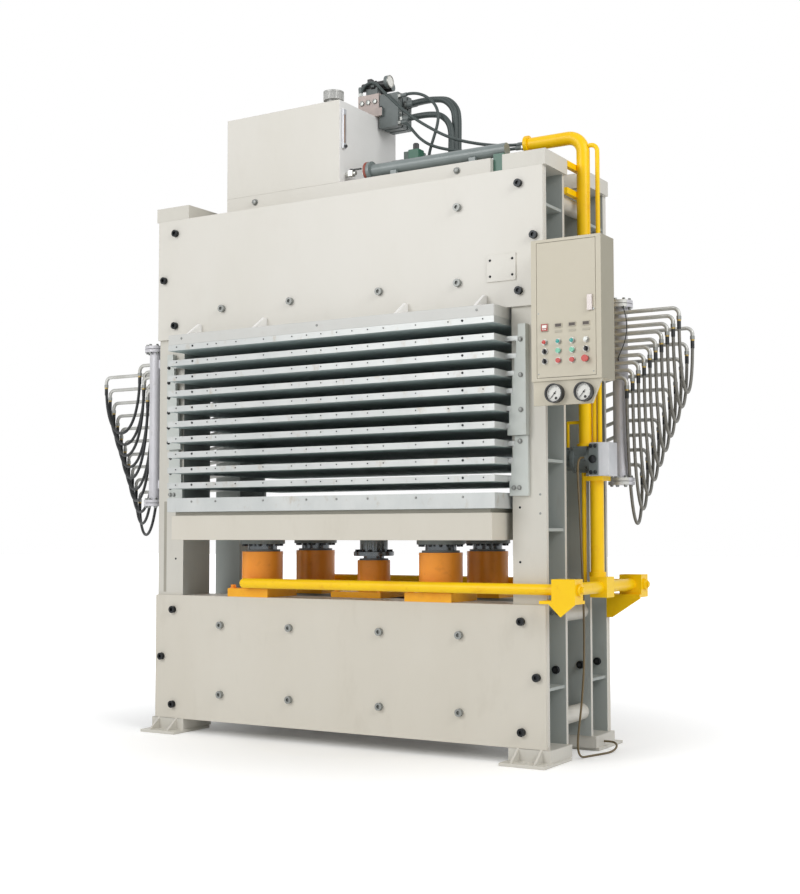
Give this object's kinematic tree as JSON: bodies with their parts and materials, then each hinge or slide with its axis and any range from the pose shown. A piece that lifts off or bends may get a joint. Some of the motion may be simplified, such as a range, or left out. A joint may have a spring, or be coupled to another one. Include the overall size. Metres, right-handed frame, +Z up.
{
  "type": "multi-daylight hydraulic hot press",
  "caption": "Upstroke hydraulic hot press with stacked heated platens on step ladders, orange cylinders, yellow pressure pipes, looped heating hoses, a top power unit and a control cabinet.",
  "frame": {"origin": "centre of the anchor bolt pattern on the floor", "axes": "+X to the right seen from the loading side, +Y to the rear, +Z up"},
  "size_m": [4.762, 1.422, 4.892],
  "materials": {
    "frame_paint": "satin enamel over rolled plate",
    "panel_paint": "satin enamel",
    "black_oxide_bolt": "black oxide",
    "zinc_bolt": "zinc plated",
    "platen_steel": "ground hot plate, light rust stains",
    "pipe_yellow": "gloss enamel",
    "cylinder_orange": "gloss enamel",
    "plunger_steel": "ground and hard chromed, oiled",
    "valve_grey": "machined",
    "valve_black": "painted casting",
    "motor_grey": "hammer enamel on ribbed casting",
    "pump_grey": "painted casting",
    "hose_rubber": "woven cover",
    "heating_hose": "woven steel and rubber cover",
    "header_paint": "aluminium paint",
    "cabinet_paint": "textured powder coat",
    "latch_metal": "polished",
    "gauge_black": "gloss",
    "needle_black": "black enamel",
    "meter_plastic": "moulded",
    "green_plastic": "moulded",
    "red_plastic": "moulded",
    "black_plastic": "moulded",
    "breather_metal": "pressed steel",
    "sight_metal": "anodised",
    "return_grey": "gloss enamel",
    "tap_brass": "cast and turned",
    "cable_sheath": "extruded sheath"
  },
  "bodies": {
    "frame": {"front_columns": "frame_paint", "rear_columns": "frame_paint", "lower_beams": "frame_paint", "upper_beams": "frame_paint", "front_panels": "panel_paint", "rear_panels": "panel_paint", "frame_bolts": "black_oxide_bolt", "panel_bolts": "zinc_bolt", "tie_tubes": "frame_paint", "top_carrier": "panel_paint", "top_platen": "platen_steel", "step_ladders": "frame_paint", "press_cylinders": "cylinder_orange", "feed_pipes": "pipe_yellow", "side_manifold": "pipe_yellow", "main_riser": "pipe_yellow", "pilot_pipes": "pipe_yellow", "valve_block": "valve_grey", "prefill_valve": "valve_black", "tank_base": "frame_paint", "oil_tank": "panel_paint", "breather_cap": "breather_metal", "level_gauge": "sight_metal", "pump_motor": "motor_grey", "oil_pump": "pump_grey", "valve_stack": "pump_grey", "return_pipe": "return_grey", "drain_tap": "tap_brass", "power_hoses": "hose_rubber", "steam_headers": "header_paint", "heating_hoses": "heating_hose", "supply_cable": "cable_sheath", "control_cabinet": "cabinet_paint", "pressure_gauges": "gauge_black"},
    "table": {"table_beam": "panel_paint", "bottom_platen": "platen_steel", "plungers": "plunger_steel"},
    "door": {"cabinet_door": "cabinet_paint", "door_meters": "meter_plastic"},
    "latch": {"door_latch": "latch_metal"},
    "needle_1": {"gauge_needle_1": "needle_black"},
    "needle_2": {"gauge_needle_2": "needle_black"},
    "tap": {"tap_lever": "black_plastic"},
    "mushroom": {"emergency_stop": "red_plastic"},
    "loose_platen_1": {"platen_1": "platen_steel"},
    "loose_platen_2": {"platen_2": "platen_steel"},
    "loose_platen_3": {"platen_3": "platen_steel"},
    "loose_platen_4": {"platen_4": "platen_steel"},
    "loose_platen_5": {"platen_5": "platen_steel"},
    "loose_platen_6": {"platen_6": "platen_steel"},
    "loose_platen_7": {"platen_7": "platen_steel"},
    "loose_platen_8": {"platen_8": "platen_steel"},
    "loose_platen_9": {"platen_9": "platen_steel"},
    "switch_1": {"selector_1": "black_plastic"},
    "switch_2": {"selector_2": "black_plastic"},
    "switch_3": {"selector_3": "black_plastic"},
    "start_1": {"start_button_1": "green_plastic"},
    "stop_1": {"stop_button_1": "red_plastic"},
    "start_2": {"start_button_2": "green_plastic"},
    "stop_2": {"stop_button_2": "red_plastic"}
  },
  "joints": [
    {"name": "table_lift", "type": "slide", "parent": "frame", "child": "table", "axis": [0, 0, 1], "range_m": [0, 0.69], "deforming": ["heating_hoses"]},
    {"name": "platen_1_lift", "type": "slide", "parent": "frame", "child": "loose_platen_1", "axis": [0, 0, 1], "range_m": [0, 0.6212], "deforming": ["heating_hoses"]},
    {"name": "platen_2_lift", "type": "slide", "parent": "frame", "child": "loose_platen_2", "axis": [0, 0, 1], "range_m": [0, 0.5522], "deforming": ["heating_hoses"]},
    {"name": "platen_3_lift", "type": "slide", "parent": "frame", "child": "loose_platen_3", "axis": [0, 0, 1], "range_m": [0, 0.4832], "deforming": ["heating_hoses"]},
    {"name": "platen_4_lift", "type": "slide", "parent": "frame", "child": "loose_platen_4", "axis": [0, 0, 1], "range_m": [0, 0.4142], "deforming": ["heating_hoses"]},
    {"name": "platen_5_lift", "type": "slide", "parent": "frame", "child": "loose_platen_5", "axis": [0, 0, 1], "range_m": [0, 0.3452], "deforming": ["heating_hoses"]},
    {"name": "platen_6_lift", "type": "slide", "parent": "frame", "child": "loose_platen_6", "axis": [0, 0, 1], "range_m": [0, 0.2762], "deforming": ["heating_hoses"]},
    {"name": "platen_7_lift", "type": "slide", "parent": "frame", "child": "loose_platen_7", "axis": [0, 0, 1], "range_m": [0, 0.2072], "deforming": ["heating_hoses"]},
    {"name": "platen_8_lift", "type": "slide", "parent": "frame", "child": "loose_platen_8", "axis": [0, 0, 1], "range_m": [0, 0.1382], "deforming": ["heating_hoses"]},
    {"name": "platen_9_lift", "type": "slide", "parent": "frame", "child": "loose_platen_9", "axis": [0, 0, 1], "range_m": [0, 0.0692], "deforming": ["heating_hoses"]},
    {"name": "door_swing", "type": "hinge", "parent": "frame", "child": "door", "pos_m": [1.669, -0.698, 2.83], "axis": [0, 0, -1], "range_deg": [0, 110]},
    {"name": "latch_turn", "type": "hinge", "parent": "door", "child": "latch", "pos_m": [2.02, -0.703, 2.845], "axis": [0, 1, 0], "range_deg": [0, 90]},
    {"name": "selector_1_turn", "type": "hinge", "parent": "door", "child": "switch_1", "pos_m": [1.715, -0.703, 2.572], "axis": [0, 1, 0], "range_deg": [-45, 45]},
    {"name": "selector_2_turn", "type": "hinge", "parent": "door", "child": "switch_2", "pos_m": [1.9931, -0.703, 2.572], "axis": [0, 1, 0], "range_deg": [-45, 45]},
    {"name": "selector_3_turn", "type": "hinge", "parent": "door", "child": "switch_3", "pos_m": [1.715, -0.703, 2.511], "axis": [0, 1, 0], "range_deg": [-45, 45]},
    {"name": "start_1_press", "type": "slide", "parent": "door", "child": "start_1", "axis": [0, 1, 0], "range_m": [0, 0.006], "stiffness_N_per_m": 400, "springref_m": -0.004},
    {"name": "start_2_press", "type": "slide", "parent": "door", "child": "start_2", "axis": [0, 1, 0], "range_m": [0, 0.006], "stiffness_N_per_m": 400, "springref_m": -0.004},
    {"name": "stop_1_press", "type": "slide", "parent": "door", "child": "stop_1", "axis": [0, 1, 0], "range_m": [0, 0.006], "stiffness_N_per_m": 400, "springref_m": -0.004},
    {"name": "stop_2_press", "type": "slide", "parent": "door", "child": "stop_2", "axis": [0, 1, 0], "range_m": [0, 0.006], "stiffness_N_per_m": 400, "springref_m": -0.004},
    {"name": "emergency_press", "type": "slide", "parent": "door", "child": "mushroom", "axis": [0, 1, 0], "range_m": [0, 0.006]},
    {"name": "tap_turn", "type": "hinge", "parent": "frame", "child": "tap", "pos_m": [-0.055, -0.21, 4.06], "axis": [0, 0, -1], "range_deg": [0, 90]},
    {"name": "needle_1_sweep", "type": "hinge", "parent": "frame", "child": "needle_1", "pos_m": [1.783, -0.713, 2.31], "axis": [0, 1, 0], "range_deg": [0, 270], "stiffness_Nm_per_rad": 0.01},
    {"name": "needle_2_sweep", "type": "hinge", "parent": "frame", "child": "needle_2", "pos_m": [1.978, -0.713, 2.31], "axis": [0, 1, 0], "range_deg": [0, 270], "stiffness_Nm_per_rad": 0.01}
  ],
  "couplings": [
    {"joint": "platen_1_lift", "follows": "table_lift", "ratio": 0.9},
    {"joint": "platen_2_lift", "follows": "table_lift", "ratio": 0.8},
    {"joint": "platen_3_lift", "follows": "table_lift", "ratio": 0.7},
    {"joint": "platen_4_lift", "follows": "table_lift", "ratio": 0.6},
    {"joint": "platen_5_lift", "follows": "table_lift", "ratio": 0.5},
    {"joint": "platen_6_lift", "follows": "table_lift", "ratio": 0.4},
    {"joint": "platen_7_lift", "follows": "table_lift", "ratio": 0.3},
    {"joint": "platen_8_lift", "follows": "table_lift", "ratio": 0.2},
    {"joint": "platen_9_lift", "follows": "table_lift", "ratio": 0.1}
  ]
}
